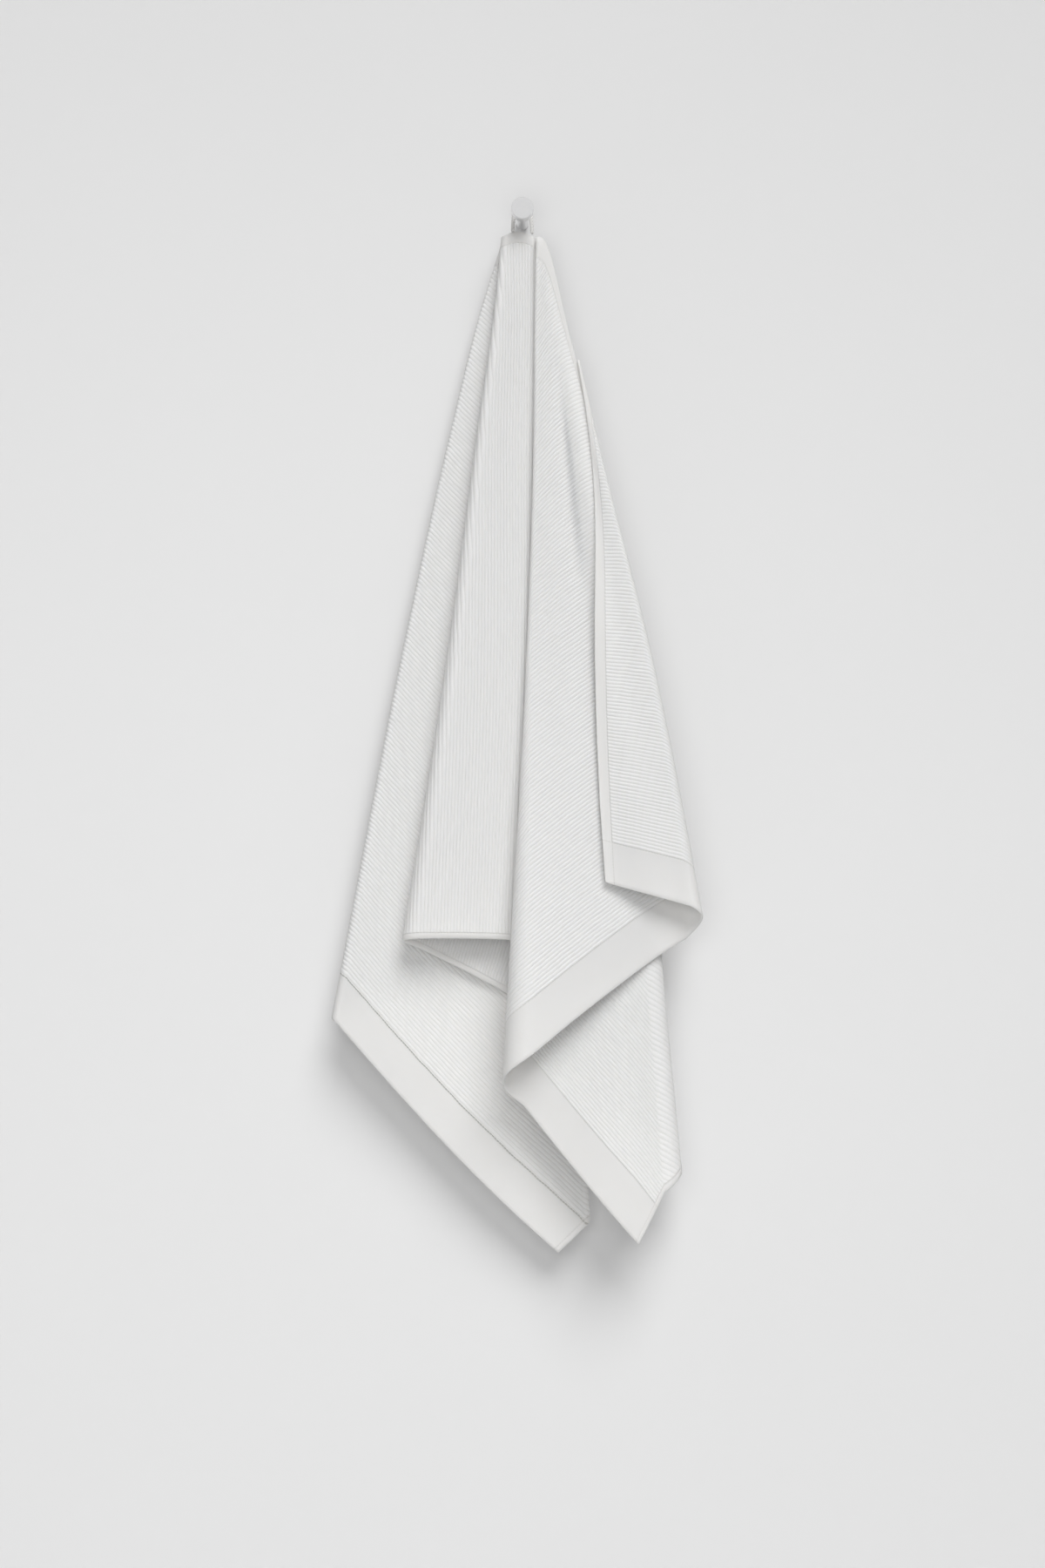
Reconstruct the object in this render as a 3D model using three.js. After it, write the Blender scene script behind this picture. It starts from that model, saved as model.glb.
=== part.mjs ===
// Bath towel hanging by its sewn loop from a round wall peg.
// Millimetres, +Z up. The origin is the middle of the peg's flat wall face; the wall is the plane y = 0
// and the towel hangs on the -Y side of it.
import * as THREE from "three";

// Towel, laid flat: u runs along the long sides from the loop, v across from the side that carries the loop.
const TOWEL_WIDTH = 700;
const TOWEL_LEFT = 705;
const TOWEL_RIGHT = 695;
const TOWEL_THICKNESS = 2.0;
const TOP_EDGE_Z = -19;
const TOP_GATHER = 26;

// The stiff hem holds the loop side up on both sides of the loop: greatest lift, the stretch over which it
// comes in and the distance over which it fades, all measured along that side.
const SHOULDER_LIFT = 29;
const SHOULDER_SPAN = [15, 55];
const SHOULDER_FADE = 220;

// Levels down the towel, measured along the cloth, at which every fold's place is given.
const LEVELS = [40, 110, 220, 450, 800];

// One row for each fold, from the hidden rear edge round to the turned-over front corner.
// top: where the fold leaves the loop side (u); end: where it meets the outline (u, v)
// turn: +1 or -1 for the way the cloth winds round the fold, 0 for a free edge
// side: -1 for a fold that reaches left, +1 for one that reaches right
// give: how much longer (+) or shorter (-) the cloth hangs than its flat length, before and after the fold
// x, y, bend: place of the fold's outer line, its depth and its radius at each level
const FOLDS = [
  { name: "rear_free_corner", top: -705, end: [-705, 0], turn: 0, side: 0, give: [-0.02, -0.02],
    x: [-20, -36, -60, -106, -162], y: [-18, -17, -15, -11, -8], bend: [0, 0, 0, 0, 0] },
  { name: "rear_flap_fold", top: -95, end: [-705, 175], turn: -1, side: 1, give: [0, 0],
    x: [-12, -14, -16, -20, -26], y: [-20, -19, -18, -15, -12], bend: [1.6, 1.7, 1.9, 2.3, 3] },
  { name: "left_outer_fold", top: -50, end: [-705, 372], turn: 1, side: -1, give: [0.02, 0.02],
    x: [-22, -43, -70, -120, -187], y: [-26, -27, -27.5, -31, -44], bend: [2, 2.2, 2.8, 4, 6.5] },
  { name: "left_panel_inner_fold", top: -41, end: [-663, 700], turn: 1, side: 1, give: [0.03, 0.03],
    x: [-8, 5, 13, 32, 55], y: [-28.5, -29.5, -29.5, -30, -29.5], bend: [1.6, 1.8, 2.2, 3.1, 4.5] },
  { name: "left_pleat_hidden_fold", top: -37, end: [-530, 700], turn: -1, side: -1, give: [0.03, 0.03],
    x: [-15, -10, -8, -8, -4], y: [-25.5, -24.5, -24, -22.5, -20.5], bend: [1.5, 1.6, 1.8, 2.3, 3] },
  { name: "left_pleat_outer_fold", top: -31, end: [-395, 700], turn: -1, side: 1, give: [0.02, 0.02],
    x: [-2, 14, 26, 54, 86], y: [-28.8, -29.2, -28, -28, -27], bend: [3.6, 4.2, 5.1, 7, 10] },
  { name: "tongue_left_fold", top: -17, end: [-122, 700], turn: 1, side: -1, give: [-0.005, -0.005],
    x: [-21, -28, -43, -73, -127], y: [-41, -45, -50, -58, -68], bend: [5, 6, 7.5, 10.5, 14] },
  { name: "tongue_right_fold", top: 17, end: [150, 700], turn: 1, side: 1, give: [0.012, 0.005],
    x: [12, 22, 38, 78, 128], y: [-43, -45, -48, -52, -56], bend: [2, 2.4, 3, 4.2, 6] },
  { name: "right_pleat_hidden_fold", top: 24, end: [318, 700], turn: -1, side: -1, give: [0.01, 0.01],
    x: [0, -3, -3, -5, -9], y: [-40.5, -43.5, -47.5, -53, -58], bend: [1.6, 1.9, 2.4, 3.4, 5] },
  { name: "right_panel_outer_fold", top: 33, end: [610, 700], turn: -1, side: 1, give: [0.02, 0.02],
    x: [17, 30, 53, 108, 142], y: [-42, -44, -45.5, -46.5, -53], bend: [6, 7, 9, 12.5, 18] },
  { name: "front_ridge_fold", top: 40, end: [695, 430], turn: 1, side: -1, give: [0.05, 0.026],
    x: [14, 13, 12, 4, -17], y: [-53, -56, -62, -74, -99.5], bend: [2.5, 3, 3.6, 5.5, 20] },
  { name: "right_outer_fold", top: 170, end: [695, 118], turn: -1, side: 1, give: [0.034, 0],
    x: [38, 47, 70, 126, 193], y: [-50, -54, -59, -68, -76], bend: [1.5, 1.6, 2, 7, 15] },
  { name: "front_free_corner", top: 695, end: [695, 0], turn: 0, side: 0, give: [-0.033, -0.033],
    x: [32, 42, 57, 61, 90], y: [-53, -57, -61.5, -73, -96], bend: [0, 0, 0, 0, 0] },
];
const FOLD_STEPS = 5;
const PANEL_STEPS = 5;
const ROWS = 24;
const ROW_CROWDING = 1.35;
const HEIGHT_STEPS = 240;
const LOWEST_LEVEL = 1030;

// Hanging loop: a round cotton cord over the peg's neck, both ends sewn at the middle of the loop side.
const CORD_DIAMETER = 4.0;
const CORD_CLEARANCE = 0.4;
const LOOP_DEPTH = -39;
const LOOP_LEFT_FOOT = [-9.6, -45.4, -18.6];
const LOOP_RIGHT_FOOT = [9.6, -45.2, -20.35];
const LOOP_STEPS = 40;
const CORD_SIDES = 14;

// Peg hook: a turned neck with a short round head.
const PEG_LENGTH = 65;
const NECK_DIAMETER = 12.5;
const HEAD_DIAMETER = 22;
const HEAD_THICKNESS = 11;
const HEAD_CHAMFER = 1.2;
const PEG_SIDES = 48;

// Smooth curve through one value for each level, straight above the first and below the last.
function alongLevels(values, level) {
  const last = LEVELS.length - 1;
  const rate = [];
  for (let i = 0; i < last; i += 1) {
    rate.push((values[i + 1] - values[i]) / (LEVELS[i + 1] - LEVELS[i]));
  }
  const slope = [rate[0]];
  for (let i = 1; i < last; i += 1) {
    const above = LEVELS[i] - LEVELS[i - 1];
    const below = LEVELS[i + 1] - LEVELS[i];
    slope.push((rate[i - 1] * below + rate[i] * above) / (above + below));
  }
  slope.push(rate[last - 1]);
  if (level <= LEVELS[0]) {
    return values[0] + (level - LEVELS[0]) * slope[0];
  }
  if (level >= LEVELS[last]) {
    return values[last] + (level - LEVELS[last]) * slope[last];
  }
  let i = 0;
  while (level > LEVELS[i + 1]) {
    i += 1;
  }
  const span = LEVELS[i + 1] - LEVELS[i];
  const t = (level - LEVELS[i]) / span;
  const s = 1 - t;
  return (1 + 2 * t) * s * s * values[i] + t * s * s * span * slope[i]
    + t * t * (3 - 2 * t) * values[i + 1] - t * t * s * span * slope[i + 1];
}

// A fold at one level is a round roller: centre, radius and winding.
function rollerAt(fold, level) {
  const radius = Math.max(alongLevels(fold.bend, level), 0.8 * fold.bend[0]);
  return {
    x: alongLevels(fold.x, level) - fold.side * radius,
    y: alongLevels(fold.y, level),
    wound: fold.turn * radius,
  };
}

// Heading of the straight panel that leaves one roller and meets the next.
function panelHeading(from, to) {
  const dx = to.x - from.x;
  const dy = to.y - from.y;
  return Math.atan2(dy, dx) + Math.asin((from.wound - to.wound) / Math.hypot(dx, dy));
}

function touchPoint(roller, heading) {
  return [roller.x + roller.wound * Math.sin(heading), roller.y - roller.wound * Math.cos(heading)];
}

// Plan position of one column of the cloth at one level.
function planPoint(column, level) {
  const here = rollerAt(FOLDS[column.fold], level);
  if (column.kind === "edge") {
    return [here.x, here.y];
  }
  const next = rollerAt(FOLDS[column.fold + 1], level);
  const leaving = panelHeading(here, next);
  if (column.kind === "panel") {
    const start = touchPoint(here, leaving);
    const stop = touchPoint(next, leaving);
    return [
      start[0] + (stop[0] - start[0]) * column.share,
      start[1] + (stop[1] - start[1]) * column.share,
    ];
  }
  const arriving = panelHeading(rollerAt(FOLDS[column.fold - 1], level), here);
  const turn = FOLDS[column.fold].turn;
  const full = 2 * Math.PI;
  const sweep = (((leaving - arriving) * turn) % full + full) % full;
  return touchPoint(here, arriving + sweep * turn * column.share);
}

// Distance along the outline from the rear free corner: left end, lower side, right end.
function outlineDistance(end) {
  if (end[0] === -TOWEL_LEFT && end[1] < TOWEL_WIDTH) {
    return end[1];
  }
  if (end[1] === TOWEL_WIDTH) {
    return TOWEL_WIDTH + TOWEL_LEFT + end[0];
  }
  return 2 * TOWEL_WIDTH + TOWEL_LEFT + TOWEL_RIGHT - end[1];
}

function outlinePoint(distance) {
  const lowerEnd = TOWEL_WIDTH + TOWEL_LEFT + TOWEL_RIGHT;
  if (distance < TOWEL_WIDTH) {
    return [-TOWEL_LEFT, distance];
  }
  if (distance < lowerEnd) {
    return [distance - TOWEL_WIDTH - TOWEL_LEFT, TOWEL_WIDTH];
  }
  return [TOWEL_RIGHT, lowerEnd + TOWEL_WIDTH - distance];
}

// Columns of the cloth: several round each fold and several across each panel between folds.
// The panel that holds a lower corner keeps one column exactly on that corner, and the columns to either
// side of the loop fan out from above it.
function clothColumns() {
  const corners = [TOWEL_WIDTH, TOWEL_WIDTH + TOWEL_LEFT + TOWEL_RIGHT];
  const columns = [];
  const topHalf = FOLDS.map((fold) => (fold.turn === 0 ? 0 : fold.bend[0] * Math.PI * 0.25));
  const endHalf = FOLDS.map((fold) => (fold.turn === 0 ? 0 : fold.bend.at(-1) * Math.PI * 0.45));
  FOLDS.forEach((fold, k) => {
    const distance = outlineDistance(fold.end);
    if (fold.turn === 0) {
      columns.push({ kind: "edge", fold: k, share: 0, top: fold.top, distance, give: fold.give[0] });
    } else {
      for (let i = 0; i <= FOLD_STEPS; i += 1) {
        const share = i / FOLD_STEPS;
        const off = 2 * share - 1;
        columns.push({
          kind: "fold", fold: k, share,
          give: fold.give[0] + (fold.give[1] - fold.give[0]) * share,
          top: fold.top + topHalf[k] * off,
          distance: distance + endHalf[k] * off,
        });
      }
    }
    const next = FOLDS[k + 1];
    if (next === undefined) {
      return;
    }
    const topA = fold.top + topHalf[k];
    const topB = next.top - topHalf[k + 1];
    const endA = distance + endHalf[k];
    const endB = outlineDistance(next.end) - endHalf[k + 1];
    const shares = [];
    for (let i = 1; i < PANEL_STEPS; i += 1) {
      shares.push(i / PANEL_STEPS);
    }
    corners.forEach((corner) => {
      if (corner > endA && corner < endB) {
        const exact = (corner - endA) / (endB - endA);
        const gaps = shares.map((share) => Math.abs(share - exact));
        shares[gaps.indexOf(Math.min(...gaps))] = exact;
      }
    });
    const oneSide = topA * topB > 0;
    shares.forEach((share) => {
      const fanned = 1 / (1 / topA + (1 / topB - 1 / topA) * share);
      columns.push({
        kind: "panel", fold: k, share,
        give: fold.give[1] + (next.give[0] - fold.give[1]) * share,
        top: oneSide ? fanned : topA + (topB - topA) * share,
        distance: endA + (endB - endA) * share,
      });
    });
  });
  return columns;
}

// Level at which the loop side hangs, at a distance along it from the loop.
function edgeLevel(top) {
  const away = Math.abs(top);
  const rise = THREE.MathUtils.smoothstep(away, ...SHOULDER_SPAN);
  const lift = SHOULDER_LIFT * rise * Math.exp(-((away / SHOULDER_FADE) ** 2));
  return Math.hypot(away - lift, TOP_GATHER);
}

// Middle surface of the cloth. Each column is a straight line on the flat towel, so its height falls by
// whatever length is left once its sideways run is taken off.
function middleSurface() {
  const step = (LOWEST_LEVEL - TOP_GATHER) / HEIGHT_STEPS;
  return clothColumns().map((column) => {
    const end = outlinePoint(column.distance);
    const start = edgeLevel(column.top);
    const length = Math.hypot(end[0] - column.top, end[1]);
    const finish = Math.hypot(column.top, TOP_GATHER) + length;
    const heights = [0];
    let before = planPoint(column, TOP_GATHER);
    for (let i = 1; i <= HEIGHT_STEPS; i += 1) {
      const after = planPoint(column, TOP_GATHER + i * step);
      const run = Math.hypot(after[0] - before[0], after[1] - before[1]) / step;
      const drop = Math.sqrt(Math.max((1 + column.give) ** 2 - run * run, 0.15));
      heights.push(heights[i - 1] - drop * step);
      before = after;
    }
    const rows = [];
    for (let i = 0; i < ROWS; i += 1) {
      const level = start + (finish - start) * (i / (ROWS - 1)) ** ROW_CROWDING;
      const plan = planPoint(column, level);
      const at = (level - TOP_GATHER) / step;
      const low = Math.min(Math.floor(at), HEIGHT_STEPS - 1);
      const height = heights[low] + (heights[low + 1] - heights[low]) * (at - low);
      rows.push(new THREE.Vector3(plan[0], plan[1], TOP_EDGE_Z + height));
    }
    return rows;
  });
}

// Unit normals of the middle surface; the two free corners borrow their neighbour's.
function surfaceNormals(grid) {
  const last = grid.length - 1;
  const normals = grid.map((rows, j) => rows.map((point, i) => {
    const across = new THREE.Vector3().subVectors(
      grid[Math.min(j + 1, last)][i], grid[Math.max(j - 1, 0)][i]);
    const down = new THREE.Vector3().subVectors(
      rows[Math.min(i + 1, ROWS - 1)], rows[Math.max(i - 1, 0)]);
    return across.cross(down).normalize();
  }));
  const middle = Math.floor(ROWS / 2);
  normals[0] = normals[0].map(() => normals[1][middle].clone());
  normals[last] = normals[last].map(() => normals[last - 1][middle].clone());
  return normals;
}

// The cloth as one closed sheet: two faces half a thickness either side of the middle, joined at the rim.
function towelGeometry() {
  const grid = middleSurface();
  const normals = surfaceNormals(grid);
  const last = grid.length - 1;
  const positions = [];
  const faces = [0, 1].map((face) => grid.map((rows, j) => {
    const offset = TOWEL_THICKNESS * (0.5 - face);
    const corner = j === 0 || j === last;
    const ids = [];
    rows.forEach((point, i) => {
      if (corner && i > 0) {
        ids.push(ids[0]);
        return;
      }
      const moved = point.clone().addScaledVector(normals[j][i], offset);
      ids.push(positions.length / 3);
      positions.push(moved.x, moved.y, moved.z);
    });
    return ids;
  }));
  const index = [];
  const triangle = (a, b, c) => {
    if (a !== b && b !== c && c !== a) {
      index.push(a, b, c);
    }
  };
  const quad = (a, b, c, d) => {
    triangle(a, b, c);
    triangle(a, c, d);
  };
  const front = faces[0];
  const back = faces[1];
  const low = ROWS - 1;
  for (let j = 0; j < last; j += 1) {
    for (let i = 0; i < low; i += 1) {
      quad(front[j][i], front[j + 1][i], front[j + 1][i + 1], front[j][i + 1]);
      quad(back[j][i], back[j][i + 1], back[j + 1][i + 1], back[j + 1][i]);
    }
    quad(front[j + 1][0], front[j][0], back[j][0], back[j + 1][0]);
    quad(front[j][low], front[j + 1][low], back[j + 1][low], back[j][low]);
  }
  const geometry = new THREE.BufferGeometry();
  geometry.setAttribute("position", new THREE.Float32BufferAttribute(positions, 3));
  geometry.setIndex(index);
  geometry.computeVertexNormals();
  return geometry;
}

// Cord over the neck: half a turn round the peg, then each strand runs down and forward to the cloth.
function loopGeometry() {
  const wrap = NECK_DIAMETER / 2 + CORD_CLEARANCE + CORD_DIAMETER / 2;
  const points = [];
  const strand = (foot) => {
    const side = Math.sign(foot[0]);
    const hang = [
      new THREE.Vector3(side * (wrap + 0.7), LOOP_DEPTH - 4.4, -13),
      new THREE.Vector3(side * (wrap + 0.3), LOOP_DEPTH - 1.4, -6.5),
    ];
    return [new THREE.Vector3(...foot)].concat(hang);
  };
  points.push(...strand(LOOP_LEFT_FOOT));
  for (let i = 0; i <= 12; i += 1) {
    const angle = Math.PI * (1 - i / 12);
    points.push(new THREE.Vector3(wrap * Math.cos(angle), LOOP_DEPTH, wrap * Math.sin(angle)));
  }
  points.push(...strand(LOOP_RIGHT_FOOT).reverse());
  const path = new THREE.CatmullRomCurve3(points, false, "centripetal");
  const ring = new THREE.Shape();
  for (let i = 0; i <= CORD_SIDES; i += 1) {
    const angle = (2 * Math.PI * i) / CORD_SIDES;
    const x = (CORD_DIAMETER / 2) * Math.cos(angle);
    const y = (CORD_DIAMETER / 2) * Math.sin(angle);
    if (i === 0) {
      ring.moveTo(x, y);
    } else {
      ring.lineTo(x, y);
    }
  }
  return new THREE.ExtrudeGeometry(ring, { steps: LOOP_STEPS, extrudePath: path, bevelEnabled: false });
}

// Round solid about the Y axis from a profile of [radius, distance from the wall] steps.
function turnedGeometry(profile) {
  const positions = [0, -profile[0][1], 0];
  profile.forEach(([radius, reach]) => {
    for (let i = 0; i < PEG_SIDES; i += 1) {
      const angle = (2 * Math.PI * i) / PEG_SIDES;
      positions.push(radius * Math.cos(angle), -reach, radius * Math.sin(angle));
    }
  });
  positions.push(0, -profile[profile.length - 1][1], 0);
  const tip = positions.length / 3 - 1;
  const index = [];
  for (let i = 0; i < PEG_SIDES; i += 1) {
    const next = (i + 1) % PEG_SIDES;
    index.push(0, 1 + next, 1 + i);
    for (let ring = 0; ring + 1 < profile.length; ring += 1) {
      const a = 1 + ring * PEG_SIDES;
      const b = a + PEG_SIDES;
      index.push(a + i, a + next, b + next);
      index.push(a + i, b + next, b + i);
    }
    const rim = 1 + (profile.length - 1) * PEG_SIDES;
    index.push(tip, rim + i, rim + next);
  }
  const geometry = new THREE.BufferGeometry();
  geometry.setAttribute("position", new THREE.Float32BufferAttribute(positions, 3));
  geometry.setIndex(index);
  return geometry;
}

function pegGeometry() {
  const neck = NECK_DIAMETER / 2;
  const head = HEAD_DIAMETER / 2;
  const headBack = PEG_LENGTH - HEAD_THICKNESS;
  return turnedGeometry([
    [neck, 0],
    [neck, headBack],
    [head - HEAD_CHAMFER * 0.5, headBack],
    [head, headBack + HEAD_CHAMFER * 0.5],
    [head, PEG_LENGTH - HEAD_CHAMFER],
    [head - HEAD_CHAMFER, PEG_LENGTH],
  ]);
}

function namedMesh(name, geometry, colour, metalness, roughness) {
  const material = new THREE.MeshStandardMaterial({ color: colour, metalness, roughness });
  const mesh = new THREE.Mesh(geometry, material);
  mesh.name = name;
  return mesh;
}

const part = new THREE.Group();
part.name = "bath_towel_on_hook";
part.add(namedMesh("towel", towelGeometry(), 0xe9e8e3, 0, 0.95));
part.add(namedMesh("hanging_loop", loopGeometry(), 0xe4e2da, 0, 0.9));
part.add(namedMesh("peg_hook", pegGeometry(), 0xc6c7c8, 0.9, 0.35));

export default part;
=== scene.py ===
import logging
import math
from dataclasses import dataclass
from enum import Enum
from typing import Any, Sequence

import bpy
import numpy as np
from bpy.types import Material, Node, NodeSocket, NodeTree, Object
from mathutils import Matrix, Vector


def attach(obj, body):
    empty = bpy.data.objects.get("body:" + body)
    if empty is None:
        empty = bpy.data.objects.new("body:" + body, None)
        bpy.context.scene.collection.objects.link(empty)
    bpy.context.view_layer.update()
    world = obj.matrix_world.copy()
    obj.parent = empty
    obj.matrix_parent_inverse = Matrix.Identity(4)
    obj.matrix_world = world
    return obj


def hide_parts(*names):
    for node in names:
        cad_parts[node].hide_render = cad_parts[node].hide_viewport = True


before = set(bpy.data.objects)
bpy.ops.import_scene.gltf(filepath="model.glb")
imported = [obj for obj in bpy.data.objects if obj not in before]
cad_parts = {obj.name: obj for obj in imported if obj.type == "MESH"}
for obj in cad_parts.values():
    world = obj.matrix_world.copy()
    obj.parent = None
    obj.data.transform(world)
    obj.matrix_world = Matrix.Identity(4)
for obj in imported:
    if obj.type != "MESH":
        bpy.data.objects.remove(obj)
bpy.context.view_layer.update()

LOG = logging.getLogger("bath_towel")
MM = 0.001
TINY = 1e-9
BODY = "root"

# Blender's type names of the nodes that are used most.
MATHS = "ShaderNodeMath"
RANGE = "ShaderNodeMapRange"
NOISE = "ShaderNodeTexNoise"
MIX = "ShaderNodeMix"
BUMP = "ShaderNodeBump"
PRINCIPLED = "ShaderNodeBsdfPrincipled"
SURFACE = "ShaderNodeOutputMaterial"

Array = np.ndarray
Pair = tuple[float, float]
Point = tuple[float, float, float]
# What a node's input takes: another node's first output, an output socket, or a number.
Feed = Node | NodeSocket | float


def linear_colour(hex_code: str) -> tuple[float, float, float, float]:
    """Turn an sRGB hex colour into linear RGBA.

    Args:
        hex_code: six hex digits, with or without a leading hash.

    Returns:
        Linear red, green and blue, and full alpha.
    """
    digits = hex_code.lstrip("#")
    channels = []
    for start in (0, 2, 4):
        value = int(digits[start:start + 2], 16) / 255
        channels.append(value / 12.92 if value <= 0.04045 else ((value + 0.055) / 1.055) ** 2.4)
    return (*channels, 1.0)


def add_node(tree: NodeTree, kind: str, inputs: dict[Any, Any] | Sequence[Any] = (), **settings: Any) -> Node:
    """Add one node, set it up and link it.

    Args:
        tree: node tree that takes the node.
        kind: Blender's type name of the node.
        inputs: what each socket takes, by name or number, or in the order of the sockets: a value, the
            output socket that feeds it, or a node whose first output feeds it.
        **settings: properties of the node itself.

    Returns:
        The new node.
    """
    node = tree.nodes.new(kind)
    for name, value in settings.items():
        setattr(node, name, value)
    for key, value in (inputs if isinstance(inputs, dict) else dict(enumerate(inputs))).items():
        feed = value.outputs[0] if isinstance(value, Node) else value
        if isinstance(feed, NodeSocket):
            tree.links.new(feed, node.inputs[key])
        else:
            node.inputs[key].default_value = feed
    return node


def new_material(name: str) -> tuple[Material, NodeTree]:
    """Make an empty node material.

    Args:
        name: the real material and how its surface was made.

    Returns:
        The material and its cleared node tree.
    """
    material = bpy.data.materials.new(name)
    material.use_nodes = True
    material.node_tree.nodes.clear()
    return material, material.node_tree


def mesh_object(name: str, vertices: Array, faces: Sequence[Sequence[int]],
                flat: Array | None = None) -> Object:
    """Make a smooth-shaded mesh object in the row frame.

    Args:
        name: object name.
        vertices: points in metres, one row each.
        faces: vertex numbers of each face, seen anticlockwise from outside.
        flat: place of each vertex on the flat cloth, in metres, kept as the UV map.

    Returns:
        The linked object.
    """
    mesh = bpy.data.meshes.new(name)
    mesh.from_pydata(vertices.tolist(), [], [list(face) for face in faces])
    mesh.polygons.foreach_set("use_smooth", np.ones(len(mesh.polygons), dtype=bool))
    if flat is not None:
        corners = np.empty(len(mesh.loops), dtype=np.int32)
        mesh.loops.foreach_get("vertex_index", corners)
        layer = mesh.uv_layers.new(name="cloth")
        layer.data.foreach_set("uv", flat[corners].astype(np.float32).ravel())
    mesh.update()
    made = bpy.data.objects.new(name, mesh)
    bpy.context.scene.collection.objects.link(made)
    return made


def smooth_step(low: float, high: float, value: Array) -> Array:
    """Ease from 0 at low to 1 at high."""
    share = np.clip((value - low) / (high - low), 0.0, 1.0)
    return share * share * (3 - 2 * share)


class Winding(Enum):
    """Way the cloth winds round a fold, seen from above."""

    EDGE = 0
    CLOCKWISE = -1
    ANTICLOCKWISE = 1


class Reach(Enum):
    """Side to which a fold reaches."""

    LEFT = -1
    NONE = 0
    RIGHT = 1


class Place(Enum):
    """Where a column of the cloth lies."""

    EDGE = "edge"
    FOLD = "fold"
    PANEL = "panel"


# Levels down the towel, in millimetres along the cloth, at which each fold's place is given.
LEVELS = np.array([40.0, 110.0, 220.0, 450.0, 800.0])
# Above the first level a fold keeps at least this share of its first radius.
LEAST_BEND = 0.8


def along_levels(values: Sequence[float], level: Array) -> Array:
    """Smooth curve through one value for each level, straight beyond the first and last.

    Args:
        values: one value for each of LEVELS.
        level: levels to read it at.

    Returns:
        The value at each level.
    """
    knots = np.array(values, dtype=float)
    spans = np.diff(LEVELS)
    rate = np.diff(knots) / spans
    slope = np.empty_like(knots)
    slope[0], slope[-1] = rate[0], rate[-1]
    slope[1:-1] = (rate[:-1] * spans[1:] + rate[1:] * spans[:-1]) / (spans[:-1] + spans[1:])
    low = np.clip(np.searchsorted(LEVELS, level) - 1, 0, len(spans) - 1)
    span = spans[low]
    free = (level - LEVELS[low]) / span
    t = np.clip(free, 0.0, 1.0)
    s = 1 - t
    inside = ((1 + 2 * t) * s * s * knots[low] + t * s * s * span * slope[low]
              + t * t * (3 - 2 * t) * knots[low + 1] - t * t * s * span * slope[low + 1])
    above = np.minimum(free, 0.0) * span * slope[low]
    below = np.maximum(free - 1.0, 0.0) * span * slope[low + 1]
    return inside + above + below


@dataclass(frozen=True)
class Roller:
    """A fold's round cross-section at some levels: centre and signed radius, in millimetres."""

    x: Array
    y: Array
    wound: Array

    def touch(self, heading: Array) -> tuple[Array, Array]:
        """Point of the roller where cloth leaves it in that heading."""
        return self.x + self.wound * np.sin(heading), self.y - self.wound * np.cos(heading)

    def heading_to(self, other: "Roller") -> Array:
        """Heading of the straight panel from this roller to the next."""
        dx, dy = other.x - self.x, other.y - self.y
        return np.arctan2(dy, dx) + np.arcsin((self.wound - other.wound) / np.hypot(dx, dy))


@dataclass(frozen=True)
class Fold:
    """One fold of the hanging cloth, in millimetres.

    top is where it leaves the loop side and end where it meets the outline of the flat towel; give is how
    much longer the cloth hangs than its flat length, before and after the fold; x, y and bend are the
    place of its outer line, its depth and its radius at each level.
    """

    name: str
    top: float
    end: Pair
    winding: Winding
    reach: Reach
    give: Pair
    x: tuple[float, ...]
    y: tuple[float, ...]
    bend: tuple[float, ...]

    def roller(self, level: Array) -> Roller:
        """Cross-section of the fold at these levels."""
        radius = np.maximum(along_levels(self.bend, level), LEAST_BEND * self.bend[0])
        return Roller(along_levels(self.x, level) - self.reach.value * radius,
                      along_levels(self.y, level), self.winding.value * radius)


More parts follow.
